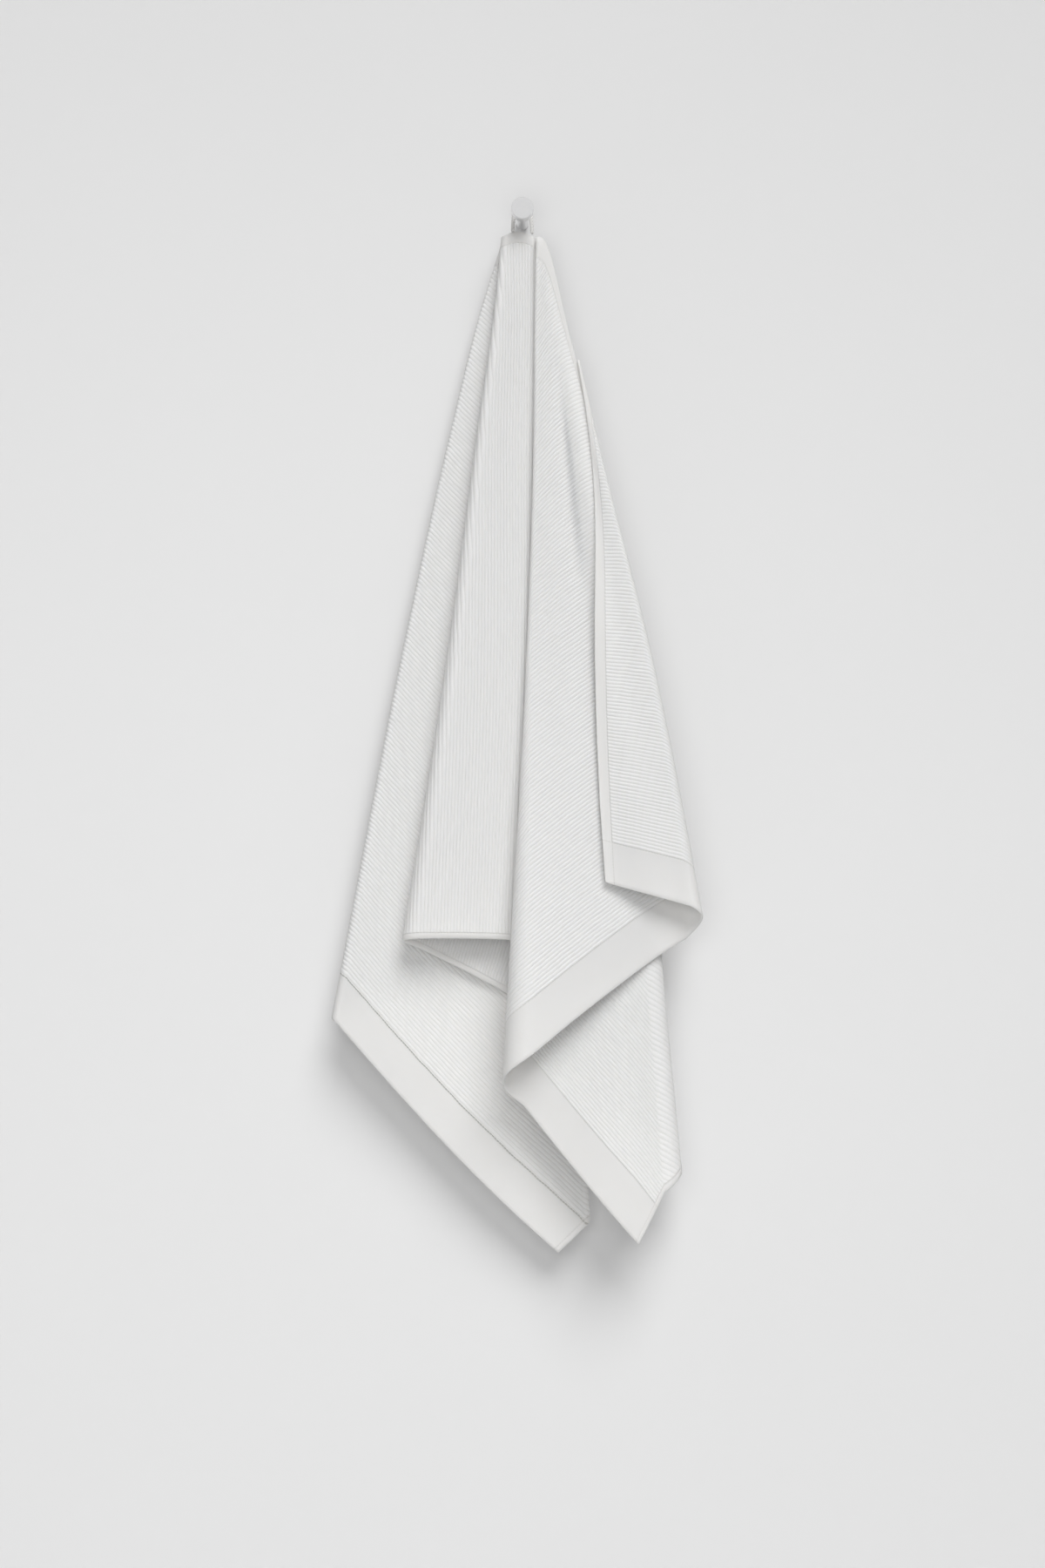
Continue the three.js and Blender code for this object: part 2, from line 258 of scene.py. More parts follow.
# Each fold: name, top, end, winding, reach and give, then x, y and bend at the five levels.
EDGE, BACK_TURN, FRONT_TURN = Winding.EDGE, Winding.CLOCKWISE, Winding.ANTICLOCKWISE
LEFT, NONE, RIGHT = Reach.LEFT, Reach.NONE, Reach.RIGHT
FOLDS: tuple[Fold, ...] = (
    Fold("rear_free_corner", -705, (-705, 0), EDGE, NONE, (-0.02, -0.02),
         (-20, -36, -60, -106, -162), (-18, -17, -15, -11, -8), (0, 0, 0, 0, 0)),
    Fold("rear_flap_fold", -95, (-705, 175), BACK_TURN, RIGHT, (0, 0),
         (-12, -14, -16, -20, -26), (-20, -19, -18, -15, -12), (1.6, 1.7, 1.9, 2.3, 3)),
    Fold("left_outer_fold", -50, (-705, 372), FRONT_TURN, LEFT, (0.02, 0.02),
         (-22, -43, -70, -120, -187), (-26, -27, -27.5, -31, -44), (2, 2.2, 2.8, 4, 6.5)),
    Fold("left_panel_inner_fold", -41, (-663, 700), FRONT_TURN, RIGHT, (0.03, 0.03),
         (-8, 5, 13, 32, 55), (-28.5, -29.5, -29.5, -30, -29.5), (1.6, 1.8, 2.2, 3.1, 4.5)),
    Fold("left_pleat_hidden_fold", -37, (-530, 700), BACK_TURN, LEFT, (0.03, 0.03),
         (-15, -10, -8, -8, -4), (-25.5, -24.5, -24, -22.5, -20.5), (1.5, 1.6, 1.8, 2.3, 3)),
    Fold("left_pleat_outer_fold", -31, (-395, 700), BACK_TURN, RIGHT, (0.02, 0.02),
         (-2, 14, 26, 54, 86), (-28.8, -29.2, -28, -28, -27), (3.6, 4.2, 5.1, 7, 10)),
    Fold("tongue_left_fold", -17, (-122, 700), FRONT_TURN, LEFT, (-0.005, -0.005),
         (-21, -28, -43, -73, -127), (-41, -45, -50, -58, -68), (5, 6, 7.5, 10.5, 14)),
    Fold("tongue_right_fold", 17, (150, 700), FRONT_TURN, RIGHT, (0.012, 0.005),
         (12, 22, 38, 78, 128), (-43, -45, -48, -52, -56), (2, 2.4, 3, 4.2, 6)),
    Fold("right_pleat_hidden_fold", 24, (318, 700), BACK_TURN, LEFT, (0.01, 0.01),
         (0, -3, -3, -5, -9), (-40.5, -43.5, -47.5, -53, -58), (1.6, 1.9, 2.4, 3.4, 5)),
    Fold("right_panel_outer_fold", 33, (610, 700), BACK_TURN, RIGHT, (0.02, 0.02),
         (17, 30, 53, 108, 142), (-42, -44, -45.5, -46.5, -53), (6, 7, 9, 12.5, 18)),
    Fold("front_ridge_fold", 40, (695, 430), FRONT_TURN, LEFT, (0.05, 0.026),
         (14, 13, 12, 4, -17), (-52, -55, -60.5, -71.5, -99.5), (1.8, 1.9, 2.2, 3.2, 20)),
    Fold("right_outer_fold", 170, (695, 118), BACK_TURN, RIGHT, (0.034, 0),
         (38, 47, 70, 126, 193), (-50, -54, -59, -68, -76), (1.5, 1.6, 2, 7, 15)),
    Fold("front_free_corner", 695, (695, 0), EDGE, NONE, (-0.033, -0.033),
         (32, 42, 57, 61, 90), (-53, -57, -61.5, -73, -96), (0, 0, 0, 0, 0)),
)


@dataclass(frozen=True)
class Wave:
    """Soft swells and long hollows of one panel (millimetres).

    across is radians over its breadth, and down is the length down the cloth for a radian. Each dent has a
    depth, and a middle and breadth as shares of the panel.
    """

    height: float
    across: float
    down: float
    lift: float = 0.0
    dents: tuple[Point, ...] = ()

    def swell(self, share: float, level: Array) -> Array:
        """How far the panel stands out from its straight run, at a share of its breadth."""
        return self.height * np.sin(share * self.across + level / self.down) + self.lift

    def dent(self, share: float) -> float:
        """How far the long hollows shift the panel, at a share of its breadth."""
        return sum(deep * math.exp(-((share - middle) / wide) ** 2) for deep, middle, wide in self.dents)


# Waves of the panels that show, each named for the fold that it follows.
WAVES: dict[str, Wave] = {
    "left_outer_fold": Wave(2.2, 7.0, 160.0),
    "tongue_left_fold": Wave(2.4, 9.0, 190.0, lift=1.5),
    "right_panel_outer_fold": Wave(2.0, 6.0, -140.0),
    "front_ridge_fold": Wave(2.0, 6.0, -150.0, dents=((3.2, 0.56, 0.13), (-1.92, 0.78, 0.1))),
    "right_outer_fold": Wave(1.6, 5.0, 120.0),
}


@dataclass(frozen=True)
class Column:
    """One straight line of the flat towel, from the loop side to the outline."""

    place: Place
    fold: int
    share: float
    top: float
    distance: float
    give: float


@dataclass
class HangingCloth:
    """The towel's middle surface: folds as rollers, panels as straight runs between them (millimetres).

    top_wrap and end_wrap are half the turn that the cloth makes round a fold, at the loop side and at the
    outline (radians).
    """

    width: float = 700.0
    left: float = 705.0
    right: float = 695.0
    top_edge_z: float = -19.0
    gather: float = 26.0
    shoulder_lift: float = 29.0
    shoulder_span: Pair = (15.0, 55.0)
    shoulder_fade: float = 220.0
    lowest_level: float = 1030.0
    height_steps: int = 300
    top_wrap: float = 0.25 * math.pi
    end_wrap: float = 0.45 * math.pi
    least_drop: float = 0.15

    def outline_distance(self, end: Pair) -> float:
        """Distance round the outline from the rear free corner.

        Args:
            end: a place on the flat towel's outline.

        Returns:
            The distance in millimetres.
        """
        if end[0] == -self.left and end[1] < self.width:
            return end[1]
        if end[1] == self.width:
            return self.width + self.left + end[0]
        return 2 * self.width + self.left + self.right - end[1]

    def outline_point(self, distance: float) -> Pair:
        """Flat place of a distance round the outline.

        Args:
            distance: millimetres from the rear free corner.

        Returns:
            The place on the flat towel.
        """
        lower_end = self.width + self.left + self.right
        if distance < self.width:
            return -self.left, distance
        if distance < lower_end:
            return distance - self.width - self.left, self.width
        return self.right, lower_end + self.width - distance

    def columns(self, fold_steps: int, panel_steps: Sequence[int]) -> list[Column]:
        """Lay out the columns: several round each fold and across each panel.

        Args:
            fold_steps: steps round each fold.
            panel_steps: steps across each panel, in the order of FOLDS.

        Returns:
            The columns from the rear free corner to the front one.
        """
        corners = (self.width, self.width + self.left + self.right)
        made: list[Column] = []
        for k, fold in enumerate(FOLDS):
            high, low = fold.bend[0] * self.top_wrap, fold.bend[-1] * self.end_wrap
            distance = self.outline_distance(fold.end)
            free = fold.winding is Winding.EDGE
            for i in range(1 if free else fold_steps + 1):
                share = i / fold_steps
                off = 2 * share - 1
                give = fold.give[0] + (fold.give[1] - fold.give[0]) * share
                made.append(Column(Place.EDGE if free else Place.FOLD, k, share, fold.top + high * off,
                                   distance + low * off, give))
            if k + 1 == len(FOLDS):
                break
            after = FOLDS[k + 1]
            top_a, top_b = fold.top + high, after.top - after.bend[0] * self.top_wrap
            end_a = distance + low
            end_b = self.outline_distance(after.end) - after.bend[-1] * self.end_wrap
            shares = [i / panel_steps[k] for i in range(1, panel_steps[k])]
            for corner in corners:
                if end_a < corner < end_b:
                    exact = (corner - end_a) / (end_b - end_a)
                    nearest = min(range(len(shares)), key=lambda n: abs(shares[n] - exact))
                    shares[nearest] = exact
            for share in shares:
                straight = top_a + (top_b - top_a) * share
                fanned = 1 / (1 / top_a + (1 / top_b - 1 / top_a) * share)
                made.append(Column(Place.PANEL, k, share, fanned if top_a * top_b > 0 else straight,
                                   end_a + (end_b - end_a) * share,
                                   fold.give[1] + (after.give[0] - fold.give[1]) * share))
        return made

    def plan(self, column: Column, level: Array) -> tuple[Array, Array]:
        """Place of a column seen from above.

        Args:
            column: the column.
            level: levels down it.

        Returns:
            x and y at each level.
        """
        here = FOLDS[column.fold].roller(level)
        if column.place is Place.EDGE:
            return here.x, here.y
        after = FOLDS[column.fold + 1].roller(level)
        leaving = here.heading_to(after)
        if column.place is Place.PANEL:
            start, stop = here.touch(leaving), after.touch(leaving)
            return (start[0] + (stop[0] - start[0]) * column.share,
                    start[1] + (stop[1] - start[1]) * column.share)
        arriving = FOLDS[column.fold - 1].roller(level).heading_to(here)
        turn = FOLDS[column.fold].winding.value
        sweep = np.mod((leaving - arriving) * turn, 2 * math.pi)
        return here.touch(arriving + sweep * turn * column.share)

    def level_span(self, column: Column) -> Pair:
        """Levels at which a column starts and ends; the stiff hem lifts the loop side beside the loop.

        Args:
            column: the column.

        Returns:
            Its first and last level.
        """
        end = self.outline_point(column.distance)
        away = abs(column.top)
        rise = float(smooth_step(*self.shoulder_span, np.array(away)))
        lift = self.shoulder_lift * rise * math.exp(-((away / self.shoulder_fade) ** 2))
        length = math.hypot(end[0] - column.top, end[1])
        return math.hypot(away - lift, self.gather), math.hypot(away, self.gather) + length

    def hang(self, column: Column, along: Array) -> tuple[Array, Array, Array]:
        """Hang one column: what length its sideways run leaves over is its drop.

        Args:
            column: the column.
            along: shares of its length, from the loop side to the outline.

        Returns:
            Points in space, places on the flat cloth and levels, one row for each share.
        """
        end = self.outline_point(column.distance)
        start, finish = self.level_span(column)
        ladder = np.linspace(self.gather, self.lowest_level, self.height_steps)
        step = ladder[1] - ladder[0]
        x, y = self.plan(column, ladder)
        run = np.hypot(np.diff(x), np.diff(y)) / step
        drop = np.sqrt(np.maximum((1 + column.give) ** 2 - run ** 2, self.least_drop))
        height = np.concatenate([[0.0], -np.cumsum(drop) * step])
        level = start + (finish - start) * along
        x, y = self.plan(column, level)
        points = np.stack([x, y, self.top_edge_z + np.interp(level, ladder, height)], axis=-1)
        flat = np.stack([column.top + (end[0] - column.top) * along, end[1] * along], axis=-1)
        return points, flat, level


@dataclass(frozen=True)
class Hems:
    """Widths of the plain end bands and of the side hems (millimetres)."""

    left_band: float = 38.0
    right_band: float = 43.0
    loop_side: float = 11.0
    far_side: float = 5.5


@dataclass(frozen=True)
class RibbedCotton:
    """Finish of the towel: ribbed cotton ground, plain woven end bands, stitched hems (millimetres).

    Rises and sink are shares of relief. The left band's seam is the boldest, and hem_stitches is how
    strongly the other stitches show. The groove colour is painted shade in the ribs' grooves, and the
    tufts' tone lightens the raised pile over painted shade in the low pile. The stitches' colour is partly
    the thread's own and partly painted shadow along the seam's step.
    """

    crest: str = "F3F2F0"
    # Painted shade: the colour the ribs take in their grooves.
    groove_shade: str = "E9E8E5"
    band: str = "E6E5E3"
    # Stitch colour: partly the thread's own, partly painted shadow along the seam's step.
    thread_and_seam_shade: str = "C6C5C2"
    relief: float = 0.9
    rib_pitch: float = 3.6
    rib_rise: float = 0.6
    crest_from: float = 0.75
    drift: float = 1.3
    drift_pitch: float = 28.0
    seam_drift: float = 2.0
    ground_rise: float = 0.35
    tuft_pitch: float = 1.5
    tuft_rise: float = 0.35
    # How far the raised tufts lighten the colour: painted shade in the low pile between them.
    tuft_shade: float = 0.25
    pile_rough: float = 0.1
    band_rough: float = 0.86
    band_rise: float = 0.4
    weave_pitch: float = 1.3
    weave_rise: float = 0.05
    hem_ease: Pair = (0.5, 0.7)
    stitch_pitch: float = 3.2
    stitch_width: float = 1.5
    stitch_edge: Pair = (0.2, 0.7)
    stitch_gap: Pair = (-0.8, -0.2)
    gap_strength: float = 0.55
    stitch_sink: float = 0.5
    seam_inset: float = 0.4
    hem_inset: float = 0.5
    hem_stitches: float = 0.28
    glow: float = 0.7
    glow_depth: float = 5.0

    def stitches(self, tree: NodeTree, away: Feed, along: Feed, line: float, strength: float) -> Node:
        """Draw one stitched line.

        Args:
            tree: node tree of the material.
            away: distance from the edge.
            along: distance along the edge.
            line: distance of the stitches from the edge.
            strength: how strongly they show, up to 1.

        Returns:
            Node whose value is the strength on the threads and 0 elsewhere.
        """
        off = add_node(tree, MATHS, (away, line), operation="SUBTRACT")
        near = add_node(tree, MATHS, (off,), operation="ABSOLUTE")
        full, clear = (share * self.stitch_width for share in self.stitch_edge)
        row = add_node(tree, RANGE, (near, full, clear, strength, 0.0), interpolation_type="SMOOTHSTEP")
        phase = add_node(tree, MATHS, (along, 2 * math.pi / self.stitch_pitch), operation="MULTIPLY")
        beat = add_node(tree, MATHS, (phase,), operation="SINE")
        dash = add_node(tree, RANGE, (beat, *self.stitch_gap, self.gap_strength, 1.0),
                        interpolation_type="SMOOTHSTEP")
        return add_node(tree, MATHS, (row, dash), operation="MULTIPLY")

    def material(self, cloth: HangingCloth, hems: Hems) -> Material:
        """Make the material from places on the flat cloth.

        Args:
            cloth: the flat towel's sizes.
            hems: widths of its bands and hems.

        Returns:
            The node material.
        """
        # Loom-woven cotton: round ribs with narrow grooves across the towel, a faint fuzz that lifts the
        # edges, and smoother flat bands a little lower than the ribs behind a line of machine stitches.
        # Light soaks a few millimetres into the yarn, so that the gaps between layers stay pale.
        material, tree = new_material("cotton_loom_ribbed")
        metres = add_node(tree, "ShaderNodeUVMap", uv_map="cloth")
        flat = add_node(tree, "ShaderNodeVectorMath", {0: metres, "Scale": 1 / MM}, operation="SCALE")
        split = add_node(tree, "ShaderNodeSeparateXYZ", (flat,))
        u, v = split.outputs["X"], split.outputs["Y"]

        # Each rib wanders by a fraction of its pitch, as beaten-up picks do, and the wide seam twice as far.
        noise = add_node(tree, NOISE, {"Vector": flat, "Scale": 1 / self.drift_pitch, "Detail": 2.0})
        wander = add_node(tree, MATHS, (noise, self.drift, -self.drift / 2), operation="MULTIPLY_ADD")
        turn = add_node(tree, MATHS, (u, wander), operation="ADD")
        phase = add_node(tree, MATHS, (turn, math.pi / self.rib_pitch), operation="MULTIPLY")
        wave = add_node(tree, MATHS, (phase,), operation="SINE")
        rib = add_node(tree, MATHS, (wave,), operation="ABSOLUTE")
        tuft = add_node(tree, NOISE, {"Vector": flat, "Scale": 1 / self.tuft_pitch, "Detail": 3.0,
                                      "Roughness": 0.65})
        raised = add_node(tree, MATHS, (rib, self.rib_rise, self.ground_rise), operation="MULTIPLY_ADD")
        pile = add_node(tree, MATHS, (tuft, self.tuft_rise, raised), operation="MULTIPLY_ADD")

        # Each edge: distance from it and along it, width of its hem, inset and strength of its stitches.
        from_left = add_node(tree, MATHS, (wander, self.seam_drift, u), operation="MULTIPLY_ADD")
        from_right = add_node(tree, MATHS, (cloth.left + cloth.right, u), operation="SUBTRACT")
        from_far = add_node(tree, MATHS, (cloth.width, v), operation="SUBTRACT")
        faint = (self.hem_inset, self.hem_stitches)
        edges = ((from_left, v, hems.left_band, self.seam_inset, 1.0),
                 (from_right, v, hems.right_band, *faint), (v, u, hems.loop_side, *faint),
                 (from_far, u, hems.far_side, *faint))
        ground: Feed = 1.0
        sewn: Feed = 0.0
        for away, along, width, inset, strength in edges:
            beyond = add_node(tree, RANGE, (away, width - self.hem_ease[0], width + self.hem_ease[1]),
                              interpolation_type="SMOOTHSTEP")
            ground = add_node(tree, MATHS, (ground, beyond), operation="MULTIPLY")
            line = self.stitches(tree, away, along, width - inset, strength)
            sewn = add_node(tree, MATHS, (sewn, line), operation="MAXIMUM")

        # The bands' threads are half this far apart; drawn coarser so that the weave still shows.
        threads = []
        for run in (u, v):
            phase = add_node(tree, MATHS, (run, 2 * math.pi / self.weave_pitch), operation="MULTIPLY")
            threads.append(add_node(tree, MATHS, (phase,), operation="SINE"))
        crossing = add_node(tree, MATHS, threads, operation="MULTIPLY")
        weave = add_node(tree, MATHS, (crossing, self.weave_rise, self.band_rise), operation="MULTIPLY_ADD")
        height = add_node(tree, MIX, {0: ground, 2: weave, 3: pile})
        stitched = add_node(tree, MATHS, (sewn, -self.stitch_sink, height), operation="MULTIPLY_ADD")
        relief = add_node(tree, BUMP, {"Distance": self.relief * MM, "Height": stitched})

        # Painted shade: the ribs' grooves and the low pile between tufts take a darker colour than the
        # crests.
        lit = add_node(tree, RANGE, (rib, 0.0, self.crest_from), interpolation_type="SMOOTHSTEP")
        shade = add_node(tree, MATHS, (tuft, self.tuft_shade, lit), operation="MULTIPLY_ADD")
        ribbed = add_node(tree, MIX, {0: shade, 6: linear_colour(self.groove_shade), 7: linear_colour(self.crest)},
                          data_type="RGBA")
        woven = add_node(tree, MIX, {0: ground, 6: linear_colour(self.band), 7: ribbed.outputs[2]},
                         data_type="RGBA")
        # The stitches take a darker colour: partly the thread, partly painted shadow along the seam's step.
        colour = add_node(tree, MIX, {0: sewn, 6: woven.outputs[2], 7: linear_colour(self.thread_and_seam_shade)},
                          data_type="RGBA")
        rough = add_node(tree, MATHS, (ground, self.pile_rough, self.band_rough), operation="MULTIPLY_ADD")
        shader = add_node(tree, PRINCIPLED,
                          {"Base Color": colour.outputs[2], "Roughness": rough, "IOR": 1.53,
                           "Specular IOR Level": 0.2, "Sheen Weight": 0.2, "Subsurface Weight": self.glow,
                           "Subsurface Scale": self.glow_depth * MM, "Subsurface Radius": (1.0, 0.97, 0.92),
                           "Normal": relief})
        add_node(tree, SURFACE, (shader,))
        return material


@dataclass(frozen=True)
class TwistedCotton:
    """Finish of the loop: plied cotton yarn (millimetres)."""

    crest: str = "EDECEA"
    # Painted shade: the yarn's colour where its fibre relief sinks.
    groove_shade: str = "D4D3D0"
    fibre_pitch: float = 0.9
    relief: float = 0.2

    def material(self) -> Material:
        """Make the material of the cord's plies.

        Returns:
            The node material.
        """
        # Plied cotton yarn: matt, with fine fibres that break up the light along each ply; the colour darkens
        # where the fibres' relief sinks, painted shade in the hollows between them.
        material, tree = new_material("cotton_yarn_plied")
        place = add_node(tree, "ShaderNodeTexCoord").outputs["Object"]
        fibre = add_node(tree, NOISE, {"Vector": place, "Scale": 1 / (self.fibre_pitch * MM), "Detail": 4.0,
                                       "Roughness": 0.7})
        colour = add_node(tree, MIX, {0: fibre, 6: linear_colour(self.groove_shade), 7: linear_colour(self.crest)},
                          data_type="RGBA")
        relief = add_node(tree, BUMP, {"Strength": 0.6, "Distance": self.relief * MM, "Height": fibre})
        shader = add_node(tree, PRINCIPLED,
                          {"Base Color": colour.outputs[2], "Roughness": 0.9, "IOR": 1.53,
                           "Specular IOR Level": 0.2, "Sheen Weight": 0.25, "Normal": relief})
        add_node(tree, SURFACE, (shader,))
        return material


@dataclass(frozen=True)
class SatinSteel:
    """Finish of the peg: turned and satin-brushed steel (millimetres)."""

    bright: str = "EEEEEE"
    dull: str = "E4E4E5"
    tool_pitch: float = 0.7
    tool_depth: float = 0.03
    haze_pitch: float = 5.0
    haze_rough: float = 0.12
    least_rough: float = 0.38

    def material(self) -> Material:
        """Make the material of the peg.

        Returns:
            The node material.
        """
        # Turned stainless steel with a satin finish: rings left by the tool soften what it reflects.
        material, tree = new_material("stainless_steel_turned_satin")
        place = add_node(tree, "ShaderNodeTexCoord").outputs["Object"]
        split = add_node(tree, "ShaderNodeSeparateXYZ", (place,))
        level = add_node(tree, "ShaderNodeVectorMath", (place, (1.0, 0.0, 1.0)), operation="MULTIPLY")
        across = add_node(tree, "ShaderNodeVectorMath", (level,), operation="LENGTH")
        reach = add_node(tree, MATHS, (across.outputs["Value"], split.outputs["Y"]), operation="ADD")
        # The rings are finer than this on the real peg; drawn coarser so that they show.
        phase = add_node(tree, MATHS, (reach, 2 * math.pi / (self.tool_pitch * MM)), operation="MULTIPLY")
        ring = add_node(tree, MATHS, (phase,), operation="SINE")
        relief = add_node(tree, BUMP, {"Strength": 0.12, "Distance": self.tool_depth * MM, "Height": ring})
        haze = add_node(tree, NOISE, {"Vector": place, "Scale": 1 / (self.haze_pitch * MM), "Detail": 3.0})
        colour = add_node(tree, MIX, {0: haze, 6: linear_colour(self.dull), 7: linear_colour(self.bright)},
                          data_type="RGBA")
        rough = add_node(tree, MATHS, (haze, self.haze_rough, self.least_rough), operation="MULTIPLY_ADD")
        shader = add_node(tree, PRINCIPLED, {"Base Color": colour.outputs[2], "Metallic": 1.0,
                                             "Roughness": rough, "Normal": relief})
        add_node(tree, SURFACE, (shader,))
        return material


@dataclass(frozen=True)
class MattPaint:
    """Finish of the studio's floor and wall (millimetres); a one-sided coat is clear from behind."""

    name: str
    colour: str
    one_sided: bool = False
    patch: float = 1000 / 3
    patch_share: float = 0.985

    def material(self) -> Material:
        """Make the paint.

        Returns:
            The node material.
        """
        # Rolled emulsion: an even matt coat with a barely uneven tone.
        material, tree = new_material(self.name)
        place = add_node(tree, "ShaderNodeTexCoord").outputs["Object"]
        mottle = add_node(tree, NOISE, {"Vector": place, "Scale": 1 / (self.patch * MM), "Detail": 3.0})
        full = linear_colour(self.colour)
        darker = tuple(channel * self.patch_share for channel in full[:3]) + (1.0,)
        colour = add_node(tree, MIX, {0: mottle, 6: darker, 7: full}, data_type="RGBA")
        surface = add_node(tree, PRINCIPLED, {"Base Color": colour.outputs[2], "Roughness": 0.9,
                                              "Specular IOR Level": 0.1})
        if self.one_sided:
            behind = add_node(tree, "ShaderNodeNewGeometry").outputs["Backfacing"]
            clear = add_node(tree, "ShaderNodeBsdfTransparent")
            surface = add_node(tree, "ShaderNodeMixShader", (behind, surface, clear))
        add_node(tree, SURFACE, (surface,))
        return material


@dataclass
class Towel:
    """The draped towel with its hems (millimetres).

    zones are how far the closer rows reach from the loop side and from the outline, and the largest share
    of a column that they take.
    """

    cloth: HangingCloth
    finish: RibbedCotton
    hems: Hems
    thickness: float = 2.0
    band_rise: float = -0.12
    hem_rise: float = 0.15
    hem_round: float = 0.7
    fold_steps: int = 12
    panel_steps: tuple[int, ...] = (14, 12, 22, 10, 10, 16, 20, 12, 16, 20, 24, 24)
    zones: tuple[Pair, Pair] = ((60.0, 0.25), (66.0, 0.3))
    rows: tuple[int, int, int] = (12, 68, 18)
    wave_starts: Pair = (60.0, 320.0)
    wave_taper: float = 1.5
    dent_starts: Pair = (120.0, 230.0)
    dent_ends: Pair = (330.0, 520.0)
    seam_ease: float = 2.0

    def row_shares(self, column: Column) -> Array:
        """Shares of a column's length for its rows, closer together at the hems.

        Args:
            column: the column.

        Returns:
            The shares, from the loop side to the outline.
        """
        end = self.cloth.outline_point(column.distance)
        length = max(math.hypot(end[0] - column.top, end[1]), TINY)
        top, low = (min(depth / length, limit) for depth, limit in self.zones)
        first = np.linspace(0, top, self.rows[0], endpoint=False)
        middle = np.linspace(top, 1 - low, self.rows[1], endpoint=False)
        return np.concatenate([first, middle, np.linspace(1 - low, 1, self.rows[2])])

    def ripple(self, column: Column, level: Array) -> Array:
        """Soft hollows and swells of a panel.

        Args:
            column: a column of the cloth.
            level: levels down it.

        Returns:
            How far the cloth stands out from its straight run at each level (millimetres).
        """
        name = FOLDS[column.fold].name
        if column.place is not Place.PANEL or name not in WAVES:
            return np.zeros_like(level)
        wave, share = WAVES[name], column.share
        high = smooth_step(*self.dent_starts, level) * (1 - smooth_step(*self.dent_ends, level))
        out = smooth_step(*self.wave_starts, level) * wave.swell(share, level) + high * wave.dent(share)
        return math.sin(math.pi * share) ** self.wave_taper * out

    def middle(self) -> tuple[Array, Array, Array]:
        """Lay out the middle surface with its waves.

        Returns:
            Points, flat places and unit normals, as (column, row) grids.
        """
        points, flats, swell = [], [], []
        for column in self.cloth.columns(self.fold_steps, self.panel_steps):
            point, flat, level = self.cloth.hang(column, self.row_shares(column))
            points.append(point)
            flats.append(flat)
            swell.append(self.ripple(column, level))
        grid, flat = np.array(points), np.array(flats)
        grid = grid + self.normals(grid) * np.array(swell)[..., None]
        return grid, flat, self.normals(grid)

    @staticmethod
    def normals(grid: Array) -> Array:
        """Unit normals of a grid of points; the two free corners borrow their neighbour's.

        Args:
            grid: points by column and row.

        Returns:
            The normal at each point.
        """
        normal = np.cross(np.gradient(grid, axis=0), np.gradient(grid, axis=1))
        normal /= np.maximum(np.linalg.norm(normal, axis=-1, keepdims=True), TINY)
        half = grid.shape[1] // 2
        normal[0], normal[-1] = normal[1, half], normal[-2, half]
        return normal

    def half_thickness(self, flat: Array) -> Array:
        """Half the cloth's thickness: thinner bands, fuller hems.

        Args:
            flat: places on the flat towel.

        Returns:
            The half thickness at each place, in millimetres.
        """
        u, v = flat[..., 0], flat[..., 1]
        edges = ((self.cloth.left + u, self.hems.left_band), (self.cloth.right - u, self.hems.right_band),
                 (v, self.hems.loop_side), (self.cloth.width - v, self.hems.far_side))
        ease = self.seam_ease
        inside = [1 - smooth_step(width - ease, width + ease, away) for away, width in edges]
        return (self.thickness / 2 + np.maximum(inside[0], inside[1]) * self.band_rise
                + np.maximum(inside[2], inside[3]) * self.hem_rise)

    def build(self) -> Object:
        """Build the cloth as one sheet of two faces with rounded edges.

        Returns:
            The towel object.
        """
        grid, flat, normal = self.middle()
        half = self.half_thickness(flat)[..., None]
        count, rows = grid.shape[:2]
        rims = []
        for row, inner in ((0, 1), (-1, -2)):
            out = np.cross(np.gradient(grid[:, row], axis=0), normal[:, row])
            out /= np.maximum(np.linalg.norm(out, axis=-1, keepdims=True), TINY)
            inward = grid[:, inner] - grid[:, row]
            out *= -np.sign(np.sum(out * inward, axis=-1, keepdims=True) + TINY)
            rims.append((grid[:, row] + out * self.hem_round)[:, None])
        # Each column is a ring: down the front, round the lower edge, up the back, round the top edge.
        front, back = grid + normal * half, grid - normal * half
        ring = np.concatenate([front, rims[1], back[:, ::-1], rims[0]], axis=1)
        place = np.concatenate([flat, flat[:, -1:], flat[:, ::-1], flat[:, :1]], axis=1)
        number = np.arange(count * ring.shape[1]).reshape(count, -1)
        # A free corner is one point on each face, without a rim of its own.
        for j in (0, -1):
            number[j, :rows], number[j, rows + 1:-1] = number[j, 0], number[j, -2]
            number[j, [rows, -1]] = -1
        used, number = np.unique(number, return_inverse=True)
        used, number = used[1:], number.reshape(count, -1) - 1
        faces: list[tuple[int, ...]] = []
        for here, after in zip(number, number[1:]):
            for k in range(ring.shape[1]):
                corners = (here[k - 1], after[k - 1], after[k], here[k])
                kept = tuple(dict.fromkeys(int(corner) for corner in corners if corner >= 0))
                if len(kept) > 2:
                    faces.append(kept)
        shift = np.array([self.cloth.left, 0.0])
        return mesh_object("bath_towel", ring.reshape(-1, 3)[used] * MM, faces,
                           (place.reshape(-1, 2)[used] + shift) * MM)

    def dress(self, towel: Object) -> None:
        """Give the towel its finish and its place in the frame.

        Args:
            towel: the built towel.
        """
        towel.data.materials.append(self.finish.material(self.cloth, self.hems))
        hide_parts("towel")
        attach(towel, BODY)


